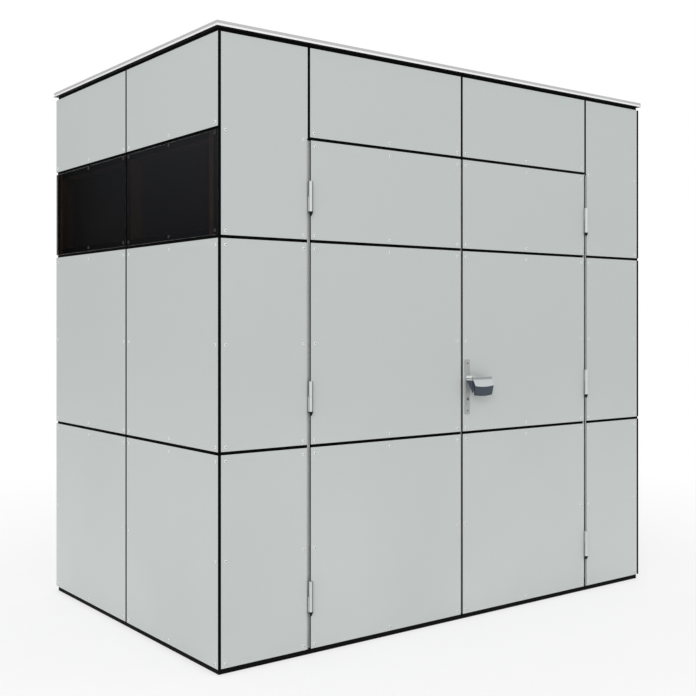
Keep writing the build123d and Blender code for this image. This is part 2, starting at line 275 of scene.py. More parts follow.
def laminate(name, wall_axis):
    finish = Finish(name)
    speckle = finish.noise(1600, 1)
    cloud = finish.noise(2.2, 3)
    # Near the ground the sheet is painted paler, as light bounced from the floor.
    floor_bounce = finish.at(2).ramp(floor_bounce_top, floor_bounce_full) * finish.noise(1.1, 2).ramp(0.1, 0.6)
    tone = 1 + (speckle - 0.5) * 0.035 + (cloud - 0.5) * 0.022
    sheet = tone.shade(floor_bounce.between(laminate_colour, floor_bounce_colour))
    black = abs(finish.facing(wall_axis)) < edge_facing
    if wall_axis == 0:
        # The sheet's back beyond the frame is painted black as shade in the corner joint.
        shaded_back = finish.facing(0) * finish.at(0) < 0
        black = black.either(shaded_back * (abs(finish.at(1)) > frame_y))
    finish.cover(black, core_colour)
    grain = finish.noise(900, 2)
    roughness = 0.42 + grain * 0.10 + cloud * 0.05
    finish.bump(grain, strength=0.10, distance=0.0004)
    return finish.feed(Base_Color=sheet, Roughness=roughness)


laminate_front = laminate("laminate_front", 1)
laminate_side = laminate("laminate_side", 0)
print("laminate finishes made")

# %% [markdown]
# The frame is planed softwood. Its grain runs along each timber, so the same finish is made once
# for each direction. A black rubber tape is stapled to the outer faces, behind the open joints:
# those faces lie in the plane of the frame, so their place tells them apart. At the corners the
# tape is a narrow strip, and wood shows beside it as far as the post goes.

# %% Timber with tape on its outer faces
tape_colour = (0.003, 0.003, 0.0032, 1)
wood_pale = (0.50, 0.335, 0.19, 1)
wood_dark = (0.315, 0.185, 0.092, 1)
wood_sheen = 0.35
tape_thickness = 0.0006
corner_tape = 0.030
post_reach = 0.061


def timber(name, grain_axis):
    finish = Finish(name, Specular_IOR_Level=wood_sheen)
    rings = finish.noise(1.5, 4, drawn_out(22.0, 1.1, grain_axis), 0.6)
    fibre = finish.noise(1.0, 3, drawn_out(260.0, 5.0, grain_axis))
    figure = finish.wire.math("PINGPONG", rings * 5.0, 1.0)
    colour = (figure * 0.65 + fibre * 0.35).between(wood_pale, wood_dark)
    x, y = abs(finish.at(0)), abs(finish.at(1))
    on_front = y > frame_y - tape_thickness
    beside_bare_post = (y > frame_y - corner_tape).either(y < frame_y - post_reach)
    on_side = (x > frame_x - tape_thickness) * beside_bare_post
    finish.cover(on_front.either(on_side), tape_colour)
    finish.bump(fibre, strength=0.25, distance=0.0008)
    return finish.feed(Base_Color=colour, Roughness=0.55 + fibre * 0.2)


timber_along_x = timber("timber_along_x", 0)
timber_along_y = timber("timber_along_y", 1)
timber_upright = timber("timber_upright", 2)
print("timber finishes made")

# %% [markdown]
# The doorway's timbers are lined on the faces that the leaves close against: pale grey on the
# posts, black under the head. The lining ends at the stops, and bare wood follows. On the posts
# the black tape starts behind the panels. The stop at the foot, which hides the floor's front
# edge, is as black as the base. Layers this thin are masks by place and need no mesh.

# %% Lined doorway timber
jamb_grey = (0.86, 0.87, 0.86, 1)
doorway_reach = 0.704
floor_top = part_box("floor_deck")[1].z


def doorway_timber(name, grain_axis, inner_axis, inner_place, lining, tape_start):
    finish = Finish(name, Specular_IOR_Level=wood_sheen)
    fibre = finish.noise(1.0, 3, drawn_out(200.0, 4.0, grain_axis))
    wood = fibre.between(wood_pale, wood_dark)
    depth = finish.at(1)
    on_front = depth < tape_thickness - frame_y
    inward = abs(finish.at(inner_axis)) < inner_place + tape_thickness
    lined = on_front.either(inward * (depth < -doorway_reach))
    taped = on_front * (abs(finish.at(0)) > tape_start)
    finish.cover(taped.either(finish.at(2) < floor_top + tape_thickness), tape_colour)
    finish.bump(fibre, strength=0.2, distance=0.0006)
    colour = lined.between(wood, lining)
    return finish.feed(Base_Color=colour, Roughness=0.55 + fibre * 0.2)


door_post_finish = doorway_timber("door_post_timber", 2, 0, head_high.x, jamb_grey, column_in)
door_head_finish = doorway_timber("door_head_timber", 0, 2, head_low.z, tape_colour, 0.0)
print("doorway finishes made")

# %% [markdown]
# Floor and roof are plywood. Its face shows broad figure, and boards meet in thin dark lines every
# 0.6 m or so. Folding the place back and forth repeats that line, which is lighter than boards
# of their own. The roof's outer edges are sealed black, so the gap under the trim stays dark.

# %% Plywood
ply_pale = (0.43, 0.29, 0.165, 1)
ply_dark = (0.29, 0.175, 0.09, 1)
seam_colour = (0.03, 0.02, 0.015, 1)
board_pitch = 0.566
boards_to_the_left = 10
seam_width = 0.0025


def plywood():
    finish = Finish("floor_plywood", Specular_IOR_Level=0.4)
    figure = finish.noise(1.6, 5, (9, 1, 1), 0.65)
    fibre = finish.noise(1.0, 2, (190, 4, 190))
    along = finish.at(0) + boards_to_the_left * board_pitch
    seam = finish.wire.math("PINGPONG", along, board_pitch / 2) < seam_width
    wood = (figure * 0.7 + fibre * 0.3).between(ply_pale, ply_dark)
    on_side = abs(finish.at(0)) > frame_x - tape_thickness
    on_front = abs(finish.at(1)) > frame_y - tape_thickness
    finish.cover(on_side.either(on_front), tape_colour)
    scuff = finish.noise(5, 4).ramp(0.5, 0.75)
    finish.bump(fibre, strength=0.15, distance=0.0006)
    boards = seam.between(wood, seam_colour)
    return finish.feed(Base_Color=boards, Roughness=0.42 + scuff * 0.25)


floor_plywood = plywood()
print("plywood made")

# %% [markdown]
# The base, the hinge caps, the roof and the tape are black, but differ in gloss, sheen and pale
# dust, so one function makes them all. On the base the dust thickens towards the ground.

# %% Black finishes
dust_colour = (0.16, 0.155, 0.15, 1)


def black_finish(name, level, gloss, dust, sheen, dust_height=None):
    finish = Finish(name, Specular_IOR_Level=sheen)
    patches = finish.noise(7, 5, rough=0.65)
    grain = finish.noise(420, 2)
    dusty = patches.ramp(0.45, 0.8) * dust
    if dust_height:
        dusty = dusty + finish.at(2).ramp(dust_height, 0.0) * patches * dust
    colour = dusty.between(grey(level), dust_colour)
    finish.bump(grain, strength=0.2, distance=0.0005)
    return finish.feed(Base_Color=colour, Roughness=gloss + patches * 0.2)


black_base = black_finish("black_base_paint", 0.003, 0.6, 0.02, 0.06, dust_height=0.02)
roof_rubber = black_finish("roof_rubber", 0.012, 0.62, 0.3, 0.3)
black_plastic = black_finish("black_plastic", 0.003, 0.4, 0.0, 0.2)
joint_rubber = black_finish("joint_rubber", 0.002, 0.7, 0.0, 0.06)
print("black finishes made")

# %% [markdown]
# The leaves hang on light grey powder-coated frames. The coat has a faint orange peel, too fine
# for a mesh, so a bump stands for it. The black tape lies on their outer face, behind the joints
# of the leaf's panels, as it does on the timber, and shows a little past the panels' hung edge.

# %% Powder coat
coat_colour = (0.78, 0.79, 0.785, 1)
tape_lap = 0.0009


def powder_coat():
    finish = Finish("powder_coat_grey")
    peel = finish.noise(520, 2)
    cloud = finish.noise(3, 3)
    tone = 1 + (cloud - 0.5) * 0.06 + (peel - 0.5) * 0.03
    across = abs(finish.at(0))
    behind_panels = (across < leaf_hung + tape_lap) * (across > leaf_free)
    finish.cover((abs(finish.at(1)) > frame_y - tape_thickness) * behind_panels, tape_colour)
    finish.bump(peel, strength=0.2, distance=0.0005)
    return finish.feed(Base_Color=tone.shade(coat_colour), Roughness=0.38 + peel * 0.1)


powder_coat_grey = powder_coat()
print("powder coat made")

# %% [markdown]
# The roof trim is satin anodised aluminium, and the plates and the hinges are satin stainless
# steel. One function makes them all: the brushing is a noise stretched along one axis, and it
# changes roughness and a very small bump. A second colour may take the places where a mask is 1.

# %% Brushed metals
def brushed(name, colour, along, gloss, metallic=1.0, second=None, mask=None):
    finish = Finish(name, Metallic=metallic)
    lines = finish.noise(1.0, 2, drawn_out(900.0, 12.0, along))
    patches = finish.noise(9, 3)
    tone = 1 + (lines - 0.5) * 0.10 + (patches - 0.5) * 0.06
    roughness = gloss + lines * 0.12 + patches * 0.06
    if mask:
        colour = mask(finish).between(colour, second)
    finish.bump(lines, strength=0.08, distance=0.0003)
    return finish.feed(Base_Color=tone.shade(colour), Roughness=roughness)


print("brushing ready")

# %% [markdown]
# The bead along the trim's foot is bright, and the trim's underside is painted black as shade
# under its overhang. The left-hand knuckles are painted darker on the side of the leaf, as shade,
# the round of the key cylinder is dark, and the upright sides of the jamb strips are painted dark
# as shade in the hinge joint. Each mask is a small function of place or normal, so no face has to
# be picked by hand.

# %% Masks for the second colours
bead_height = 0.008
bead_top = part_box("roof_trim_front")[0].z + bead_height
lever_axis = Vector(frame["joints"][2]["pos_m"])
key_drop = 0.092
key_round = 0.0068
side_facing = 0.7


def bead_with_underside_shade(finish):
    # The trim's underside is painted black as shade under the overhang.
    finish.cover(finish.facing(2) < -edge_facing, tape_colour)
    return finish.at(2) < bead_top


# Knuckles are painted darker on the leaf's side, as shade.
def leaf_side(finish):
    return finish.facing(0).ramp(-0.15, 0.1) * (finish.at(0) < 0)


# The strips' upright sides are painted dark, as shade in the hinge joint.
def upright_side(finish):
    return abs(finish.facing(0)) > side_facing


def on_key(finish):
    across = finish.at(0) - lever_axis.x
    up = finish.at(2) - (lever_axis.z - key_drop)
    return across * across + up * up < key_round * key_round


print("key cylinder at", round(lever_axis.z - key_drop, 3))

# %% [markdown]
# Each metal has its colour, the axis of its brushing, its gloss, how metallic it is and its mask.
# All are only partly metallic, so that they mirror less of the white room.

# %% Make the metals
trim_colour = (0.50, 0.505, 0.50, 1)
bead_colour = (0.86, 0.865, 0.86, 1)
hinge_colour = (0.60, 0.61, 0.605, 1)
knuckle_shade_colour = (0.16, 0.17, 0.17, 1)
plate_colour = (0.37, 0.375, 0.375, 1)
key_colour = (0.10, 0.10, 0.10, 1)
strip_colour = (0.62, 0.63, 0.625, 1)
strip_side_shade_colour = (0.04, 0.043, 0.043, 1)
trim_along_x = brushed("anodised_along_x", trim_colour, 0, 0.40, 0.2, bead_colour, bead_with_underside_shade)
trim_along_y = brushed("anodised_along_y", trim_colour, 1, 0.40, 0.2, bead_colour, bead_with_underside_shade)
hinge_steel = brushed("hinge_steel", hinge_colour, 2, 0.38, 0.35, knuckle_shade_colour, leaf_side)
plate_steel = brushed("plate_steel", plate_colour, 2, 0.36, 0.3, key_colour, on_key)
jamb_metal = brushed("jamb_metal", strip_colour, 2, 0.40, 0.2, strip_side_shade_colour, upright_side)
print("metals made")

# %% [markdown]
# The lever's grip is polished above. Below its ridge and under its neck it is painted dark as
# shade. Those faces look down or towards the meeting joint and lie below the spindle, so the
# finish is mixed by normal and height, which turn with the lever. The lip over the grip leans down
# too, and its face is painted a darker grey as shade. The neck is painted bright on top as a
# highlight.

# %% Lever finish
polished_colour = (0.56, 0.59, 0.595, 1)
lip_shade_colour = (0.33, 0.345, 0.345, 1)
neck_highlight_colour = (0.93, 0.94, 0.93, 1)
shaded_colour = (0.068, 0.082, 0.100, 1)
shade_start = 0.012
shade_blend = 0.004
grip_thickness = 0.017
grip_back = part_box("outer_lever")[0].y + grip_thickness


def lever_finish():
    finish = Finish("lever_steel")
    lines = finish.noise(1.0, 2, (14, 700, 700))
    patches = finish.noise(14, 3)
    facing_down = finish.facing(2).ramp(-0.06, -0.14)
    facing_joint = finish.facing(0).ramp(-0.3, -0.6)
    shade_level = lever_axis.z - shade_start
    low = finish.at(2).ramp(shade_level + shade_blend, shade_level)
    # Faces below the spindle that look down or to the joint are painted dark as shade.
    under = facing_down.either(facing_joint) * low
    # The lip's downward face is painted a darker grey as shade.
    lip = facing_down * (1 - low)
    # The neck's top is painted bright as a highlight.
    neck = (finish.at(1) > grip_back) * (finish.facing(2) > -0.2)
    steel = neck.between(lip.between(polished_colour, lip_shade_colour), neck_highlight_colour)
    tone = 1 + (lines - 0.5) * 0.08
    colour = tone.shade(under.between(steel, shaded_colour))
    roughness = 0.24 + lines * 0.1 + patches * 0.08
    metallic = 1 - neck * 0.85
    finish.bump(lines, strength=0.05, distance=0.0003)
    return finish.feed(Base_Color=colour, Roughness=roughness, Metallic=metallic)


lever_steel = lever_finish()
print("lever finish made")

# %% [markdown]
# The window is dark tinted sheet with blackened edges. Some light passes through it, so the timber
# behind shows faintly. Alpha would thin its gloss too, so the light passes by transmission. The
# tint drifts a little over the sheet, and a faint film of dust only changes how sharp its gloss
# is.

# %% Tinted pane finish
tint_dark = (0.205, 0.193, 0.188, 1)
tint_pale = (0.24, 0.228, 0.22, 1)


def tinted():
    finish = Finish("tinted_pane", Transmission_Weight=1.0, IOR=1.45)
    film = finish.noise(6, 4).ramp(0.4, 0.8)
    colour = finish.noise(2.5, 2).between(tint_dark, tint_pale)
    finish.cover(abs(finish.facing(0)) < edge_facing, core_colour)
    return finish.feed(Base_Color=colour, Roughness=film * 0.03)


tinted_pane = tinted()
print("pane finish made")

# %% [markdown]
# Each solid now gets its finish in the slot that it already has, because its faces would not use
# a slot added behind that one.

# %% Dress the solids
dress = {
    laminate_front: [
        "front_left_panels", "front_right_panels", "transom_panels", "back_wall_panels",
        "left_leaf_panels", "right_leaf_panels",
    ],
    laminate_side: ["left_wall_panels", "right_wall_panels"],
    tinted_pane: ["window_panes"],
    timber_upright: ["corner_posts", "wall_studs"],
    timber_along_x: ["front_column_rails", "back_wall_rails", "long_top_plates"],
    timber_along_y: [
        "left_wall_rails", "right_wall_rails", "short_top_plates", "roof_joists", "floor_bearers",
    ],
    door_post_finish: ["door_posts", "door_stops"],
    door_head_finish: ["door_head"],
    floor_plywood: ["floor_deck", "roof_deck"],
    black_base: ["side_base_beams", "front_back_base_beams", "threshold"],
    black_plastic: ["hinge_caps"],
    roof_rubber: ["roof_membrane", "long_roof_kerbs", "short_roof_kerbs"],
    trim_along_x: ["roof_trim_front", "roof_trim_back"],
    trim_along_y: ["roof_trim_left", "roof_trim_right"],
    powder_coat_grey: [
        "left_leaf_stiles", "left_leaf_rails", "right_leaf_stiles", "right_leaf_rails",
    ],
    hinge_steel: ["fixed_hinge_halves", "left_moving_hinge_halves", "right_moving_hinge_halves"],
    plate_steel: ["lock_plates"],
    lever_steel: ["outer_lever", "inner_lever"],
}
for material, names in dress.items():
    for name in names:
        nodes[name].material_slots[0].material = material
print("dressed", sum(len(names) for names in dress.values()), "nodes")

# %% [markdown]
# New pieces are modelled as by hand: a primitive is added, then shaped in edit mode. An operator
# acts on all that is selected, so the selection is cleared first, and faces are picked by place or
# normal.

# %% Hand tools
facing_out = 0.9


def start_piece(name, add, **settings):
    bpy.ops.object.select_all(action="DESELECT")
    add(**settings)
    piece = bpy.context.object
    piece.name = name
    piece.data.name = name
    bpy.ops.object.transform_apply(location=True, rotation=True, scale=True)
    return piece


def enter(mode):
    bpy.ops.object.mode_set(mode=mode)


def looking(axis, sign=1, least=facing_out):
    """A test for faces that look along an axis, or against it."""
    return lambda middle, normal: normal[axis] * sign > least


def pick_faces(piece, test):
    """Select the faces whose middle and normal pass the test, in edit mode."""
    bpy.ops.mesh.select_mode(type="FACE")
    bpy.ops.mesh.select_all(action="DESELECT")
    shape = bmesh.from_edit_mesh(piece.data)
    for face in shape.faces:
        if test(face.calc_center_median(), face.normal):
            face.select_set(True)
    shape.select_flush_mode()
    bmesh.update_edit_mesh(piece.data)


print("modelling tools ready")

# %% [markdown]
# Each wall has its own frame: how far along the wall, how high, and outward. One matrix for each
# wall turns a piece that was modelled lying flat, face up, so that it stands on that wall, at the
# cladding's face unless another depth is given.

# %% Frames of the walls
stand_up = Matrix.Rotation(quarter, 4, "X")
wall_turns = {
    "front": stand_up,
    "back": Matrix.Rotation(math.pi, 4, "Z") @ stand_up,
    "left": Matrix.Rotation(-quarter, 4, "Z") @ stand_up,
    "right": Matrix.Rotation(quarter, 4, "Z") @ stand_up,
}


def on_wall(wall, along, height, depth=None):
    """The place on a wall, where along is x or y of the shed."""
    reach_x = face_x if depth is None else depth
    reach_y = face_y if depth is None else depth
    places = {
        "front": (along, -reach_y, height),
        "back": (along, reach_y, height),
        "left": (-reach_x, along, height),
        "right": (reach_x, along, height),
    }
    return Matrix.Translation(places[wall]) @ wall_turns[wall]


print("walls", sorted(wall_turns))

# %% [markdown]
# The screws' heads are painted a little paler than the sheets, those in the panes are dark steel,
# and those in the plates are bare steel. All have a socket painted dark as shade, a second finish
# on the same piece.

# %% Screw finishes
head_colour = (0.74, 0.76, 0.75, 1)
bare_colour = (0.26, 0.26, 0.255, 1)
dark_colour = (0.055, 0.055, 0.055, 1)


def painted_head():
    finish = Finish("painted_screw_head")
    wear = finish.noise(240, 3)
    tone = 1 + (wear - 0.5) * 0.12
    finish.bump(wear, strength=0.1, distance=0.0003)
    return finish.feed(Base_Color=tone.shade(head_colour), Roughness=0.3 + wear * 0.15)


screw_paint = painted_head()
screw_steel = brushed("screw_steel", bare_colour, 0, 0.35)
dark_steel = brushed("dark_steel", dark_colour, 0, 0.35)
socket_shade = black_finish("socket_shade", 0.02, 0.6, 0.0, 0.1)


def two_finishes(piece, outside, socket_test):
    """Give the picked faces the socket's painted shade and the rest a finish, in edit mode."""
    piece.data.materials.append(outside)
    piece.data.materials.append(socket_shade)
    pick_faces(piece, socket_test)
    piece.active_material_index = 1
    bpy.ops.object.material_slot_assign()


print("screw finishes made")

# %% [markdown]
# A facade screw has a low domed head with a six-lobed socket. It starts as a short cylinder. Its
# rim is bevelled to a dome, its top is inset, the inner ring is pinched to lobes, and the middle
# is pushed down. The shape repeats hundreds of times, so it has few faces.

# %% Model one facade screw
flat_facing = 0.99
smooth_angle = math.radians(40)
head_radius = 0.0066
head_height = 0.0034
dome_height = head_height * 0.75
socket_radius = 0.0027
socket_depth = 0.0014
socket_reach = socket_radius * 1.02
screw_sides = 18
sides_per_lobe = 3
lobe_pinch = 0.78


def start_disc(name, sides, radius, height):
    return start_piece(
        name, bpy.ops.mesh.primitive_cylinder_add, vertices=sides, radius=radius, depth=height,
        location=(0, 0, height / 2),
    )


def dome(disc, offset, rim):
    """Bevel a disc's upper edge and inset the flat that is left, in edit mode."""
    pick_faces(disc, looking(2))
    bpy.ops.mesh.bevel(offset=offset, segments=2, affect="EDGES")
    pick_faces(disc, looking(2, least=flat_facing))
    bpy.ops.mesh.inset(thickness=rim)


def push(distance):
    """Extrude the picked faces along Z, in edit mode."""
    bpy.ops.mesh.extrude_region_move(TRANSFORM_OT_translate={"value": (0, 0, distance)})


def model_screw(head):
    screw = start_disc("facade_screw", screw_sides, head_radius, head_height)
    enter("EDIT")
    pick_faces(screw, looking(2, -1))
    bpy.ops.mesh.delete(type="FACE")
    dome(screw, dome_height, head_radius - dome_height - socket_radius)
    shape = bmesh.from_edit_mesh(screw.data)
    top = [face for face in shape.faces if face.select][0]
    for number, vertex in enumerate(top.verts, start=1):
        if number % sides_per_lobe == 0:
            vertex.co.xy *= lobe_pinch
    bmesh.update_edit_mesh(screw.data)
    push(-socket_depth)
    two_finishes(screw, head, lambda middle, normal: middle.xy.length < socket_reach)
    enter("OBJECT")
    bpy.ops.object.shade_smooth_by_angle(angle=smooth_angle)
    return screw


facade_screw = model_screw(screw_paint)
pane_screw = model_screw(dark_steel)
print("screw has", len(facade_screw.data.polygons), "faces")

# %% [markdown]
# A shape that repeats is copied to its places. Hundreds of single screws would be hard to handle,
# so the copies are joined to one piece, which gets its finish, body and slot.

# %% Copy, join and settle
def join_pieces(pieces, name):
    bpy.ops.object.select_all(action="DESELECT")
    for piece in pieces:
        piece.select_set(True)
    joined = pieces[0]
    bpy.context.view_layer.objects.active = joined
    bpy.ops.object.join()
    joined.name = name
    joined.data.name = name
    return joined


def copy_to(pattern, name, places):
    """Copy a pattern to every place, each copy with its own mesh, and join the copies."""
    copies = []
    for place in places:
        copy = pattern.copy()
        copy.data = pattern.data.copy()
        copy.data.transform(place)
        bpy.context.collection.objects.link(copy)
        copies.append(copy)
    return join_pieces(copies, name)


def settle(piece, material, body):
    """Give a piece its finish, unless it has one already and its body."""
    if material:
        piece.data.materials.append(material)
    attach(piece, body)
    print(piece.name, len(piece.data.polygons), "faces on", body)
    return piece


print("copying tools ready")

# %% [markdown]
# Every panel is screwed 19 mm from its upright edges, 16 mm from its lower and 23.5 mm from its
# upper edge: at the corners, halfway up a tall panel and halfway along a wide one. The uppermost
# panels have none along their top, which hangs in the trim, and the tall ones among them are held
# at the level of the doorway's head. One rule places them all, so no list has to be kept.

# %% Places of the screws
edge_side = 0.019
edge_foot = 0.016
edge_top = 0.0235
long_panel = 0.6
golden_turn = math.radians(137.5)
lower_rows = [(panel_foot, lower_top), (middle_foot, middle_top)]


def panel_screws(wall, low, high, foot, top, held_top=True):
    middle_along = (low + high) / 2
    middle_height = (foot + top) / 2 if held_top else pane_top
    sides = [low + edge_side, high - edge_side]
    rows = [foot + edge_foot] + ([top - edge_top] if held_top else [])
    spots = [(along, height) for height in rows for along in sides]
    if high - low > long_panel:
        spots += [(middle_along, height) for height in rows]
    if top - foot > long_panel:
        spots += [(along, middle_height) for along in sides]
    return [on_wall(wall, along, height) for along, height in spots]


def wall_screws(wall, columns, upper_foot=pane_foot):
    """The screws of columns of two lower panels and an uppermost one."""
    places = []
    for low, high in columns:
        for foot, top in lower_rows:
            places += panel_screws(wall, low, high, foot, top)
        places += panel_screws(wall, low, high, upper_foot, panel_top, held_top=False)
    return places


def add_screws(pattern, name, places, body):
    """Each screw stops at its own angle."""
    turned = []
    for number, place in enumerate(places):
        turned.append(place @ Matrix.Rotation(golden_turn * number, 4, "Z"))
    settle(copy_to(pattern, name, turned), None, body)


print("rows", lower_rows)

# %% [markdown]
# The walls are screwed one by one, and each leaf has its own screws, which swing with it. The
# panes are screwed higher along their upper edge, so that no screw shows below the rail from
# inside.

# %% Screw the panels
leaf_bodies = {-1: "left_leaf", 1: "right_leaf"}


def leaf_span(side):
    """Where the panels of a leaf start and end, from left to right."""
    return sorted((side * leaf_free, side * leaf_hung))


front_columns = [(-column_out, -column_in), (column_in, column_out)]
front_places = wall_screws("front", front_columns)
transom_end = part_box("transom_panels")[1].x
for low, high in [(-transom_end, -half_joint), (half_joint, transom_end)]:
    front_places += panel_screws("front", low, high, transom_foot, panel_top, held_top=False)
add_screws(facade_screw, "front_screws", front_places, "shed")

side_halves = [(-face_y, -half_joint), (half_joint, face_y)]
for wall, upper_foot in (("left", transom_foot), ("right", pane_foot)):
    wall_places = wall_screws(wall, side_halves, upper_foot)
    add_screws(facade_screw, wall + "_wall_screws", wall_places, "shed")

back_stud = 0.4
back_columns = [
    (-column_out, -back_stud - half_joint),
    (half_joint - back_stud, back_stud - half_joint),
    (back_stud + half_joint, column_out),
]
back_places = wall_screws("back", back_columns)
add_screws(facade_screw, "back_wall_screws", back_places, "shed")

for side, body in leaf_bodies.items():
    leaf_places = []
    for foot, top in lower_rows + [(pane_foot, pane_top)]:
        leaf_places += panel_screws("front", *leaf_span(side), foot, top)
    add_screws(facade_screw, body + "_screws", leaf_places, body)

pane_lift = 0.0125
pane_places = []
for low, high in side_halves:
    pane_places += panel_screws("left", low, high, pane_foot, pane_top + pane_lift)
add_screws(pane_screw, "pane_screws", pane_places, "shed")
for pattern in (facade_screw, pane_screw):
    bpy.data.objects.remove(pattern)

# %% [markdown]
# The two panes are polished sheets with a small arris round their edges. The solid stands flat
# against the timber, and glass that touches another face flickers, so a pane a little thinner
# takes its place: a cube, bevelled on all its edges.

# %% Window panes
pane_clearance = 0.0005
pane_thickness = face_x - frame_x - pane_clearance
arris = 0.0012


def start_bar(name, size, middle):
    bar = start_piece(name, bpy.ops.mesh.primitive_cube_add, size=1)
    bar.data.transform(Matrix.Translation(middle) @ Matrix.Diagonal((*size, 1)))
    return bar


def bevelled_bar(name, size, middle, test, offset, segments=2):
    """Model a bar and bevel the edges round the faces that pass the test."""
    bar = start_bar(name, size, middle)
    enter("EDIT")
    pick_faces(bar, test)
    bpy.ops.mesh.bevel(offset=offset, segments=segments, affect="EDGES")
    enter("OBJECT")
    return bar


def model_pane(low, high):
    size = (pane_thickness, high - low, pane_top - pane_foot)
    middle = (-face_x + pane_thickness / 2, (low + high) / 2, (pane_foot + pane_top) / 2)
    return bevelled_bar("pane", size, middle, lambda middle, normal: True, arris)


panes = join_pieces([model_pane(low, high) for low, high in side_halves], "tinted_panes")
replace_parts(settle(panes, tinted_pane, "shed"), "window_panes")

# %% [markdown]
# The rubber tape behind an open joint has two raised ribs that the sheets press on. It is modelled
# once as a flat strip of unit size, cut lengthwise, with two of its bands drawn up.

# %% Model the joint tape
rib_height = 0.0014
rib_inner = 0.14
rib_outer = 0.36


def cut(place, direction):
    """Cut all faces along a plane, in edit mode."""
    bpy.ops.mesh.select_all(action="SELECT")
    bpy.ops.mesh.bisect(plane_co=place, plane_no=direction)


def model_tape():
    tape = start_piece("joint_tape", bpy.ops.mesh.primitive_plane_add, size=1)
    enter("EDIT")
    for place in (-rib_outer, -rib_inner, rib_inner, rib_outer):
        cut((0, place, 0), (0, 1, 0))
    pick_faces(tape, lambda middle, normal: rib_inner < abs(middle.y) < rib_outer)
    push(1)
    enter("OBJECT")
    return tape


joint_tape = model_tape()
print("tape has", len(joint_tape.data.polygons), "faces")

# %% [markdown]
# A run of tape is a matrix that stretches the unit strip to its length and width and stands it on
# a wall's timber. The leaves carry the tape of their own joints.

# %% Lay the tape in the joints
tape_lift = 0.0001


def run(wall, low, high, foot, top):
    """Tape on a wall between two places: along it where it is wider than high, else upright."""
    depth = (frame_y if wall in ("front", "back") else frame_x) + tape_lift
    place = on_wall(wall, (low + high) / 2, (foot + top) / 2, depth)
    if high - low > top - foot:
        return place @ Matrix.Diagonal((high - low, top - foot, rib_height, 1))
    size = Matrix.Diagonal((top - foot, high - low, rib_height, 1))
    return place @ Matrix.Rotation(quarter, 4, "Z") @ size


def level_run(wall, low, high, level):
    return run(wall, low, high, level - half_joint, level + half_joint)


def upright_run(wall, place, foot, top, width=joint):
    return run(wall, place - width / 2, place + width / 2, foot, top)


stretches = [("front", low, high) for low, high in front_columns]
stretches += [(wall, -face_y, face_y) for wall in ("left", "right")]
stretches += [("back", -column_out, column_out)]
tape_runs = []
for level in (lower_joint, upper_joint):
    tape_runs += [level_run(*stretch, level) for stretch in stretches]
tape_runs.append(level_run("left", -face_y, face_y, window_joint))
uprights = [("front", 0, transom_foot), ("left", 0, panel_foot), ("right", 0, panel_foot)]
uprights += [("back", place, panel_foot) for place in (-back_stud, back_stud)]
tape_runs += [upright_run(*upright, panel_top) for upright in uprights]
corner_gap = frame_x - column_out
corner_middle = (frame_x + column_out) / 2
for wall in ("front", "back"):
    for place in (-corner_middle, corner_middle):
        tape_runs.append(upright_run(wall, place, panel_foot, panel_top, corner_gap))
settle(copy_to(joint_tape, "wall_joint_tape", tape_runs), joint_rubber, "shed")
for side, body in leaf_bodies.items():
    low, high = leaf_span(side)
    leaf_runs = [level_run("front", low, high, level) for level in (lower_joint, upper_joint)]
    settle(copy_to(joint_tape, body + "_joint_tape", leaf_runs), joint_rubber, body)
bpy.data.objects.remove(joint_tape)

# %% [markdown]
# A light metal strip on each door post closes the hinge joint beside the column's panels, a little
# behind their face. It is a long bar, painted dark as shade on its side that looks to the doorway,
# and the edges of that side are bevelled.

# %% Jamb strips
strip_width = 0.003
strip_inset = 0.0015
strip_bevel = 0.0006


def model_strip(side):
    size = Vector((strip_width, face_y - frame_y - strip_inset, pane_top - panel_foot))
    place = side * (column_in - strip_width / 2)
    middle = (place, -frame_y - size.y / 2, (panel_foot + pane_top) / 2)
    return bevelled_bar("jamb_strip", size, middle, looking(0, -side), strip_bevel)


jamb_strips = join_pieces([model_strip(side) for side in (-1, 1)], "jamb_strips")
settle(jamb_strips, jamb_metal, "shed")

# %% [markdown]
# The leaves meet with a narrow gap. A black rubber lip on the left leaf's edge fills most of it
# and keeps rain out. It is a long bar just behind the panels, whose free edges are bevelled round,
# clear of the other leaf.

# %% Meeting lip
lip_width = 0.010
lip_depth = 0.010
lip_inset = 0.002
lip_rounding = 0.004


def model_lip():
    low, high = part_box("left_leaf_stiles")
    size = (lip_width, lip_depth, high.z - low.z)
    middle_depth = low.y + lip_inset + lip_depth / 2
    middle = (high.x + lip_width / 2, middle_depth, (low.z + high.z) / 2)
    lip = bevelled_bar("meeting_lip", size, middle, looking(0), lip_rounding, 3)
    bpy.ops.object.shade_smooth_by_angle(angle=smooth_angle)
    return lip


settle(model_lip(), joint_rubber, "left_leaf")

# %% [markdown]
# The lock plates are held by a screw near each end, and each hinge plate by two. A cross slot
# would be lost at this size, so the screw is a flat disc: a cylinder whose rim is bevelled, with a
# round recess pressed into it.

# %% Model one plate screw
disc_radius = 0.0042
disc_height = 0.0012
disc_sides = 24
disc_recess = disc_height * 0.6
disc_rim = disc_radius * 0.3
recess_reach = disc_radius * 0.55
recess_top = disc_height * 0.9


def in_recess(middle, normal):
    return middle.xy.length < recess_reach and middle.z < recess_top


def model_plate_screw():
    screw = start_disc("plate_screw", disc_sides, disc_radius, disc_height)
    enter("EDIT")
    dome(screw, disc_recess, disc_rim)
    push(-disc_recess)
    # The recess is painted dark as shade.
    two_finishes(screw, screw_steel, in_recess)
    enter("OBJECT")
    bpy.ops.object.shade_smooth_by_angle(angle=smooth_angle)
    return screw


plate_screw = model_plate_screw()
print("plate screw has", len(plate_screw.data.polygons), "faces")

# %% [markdown]
# The key cylinder stands out of both lock plates, so the box of that node is a little deeper than
# the plates. Their faces lie that much further in.

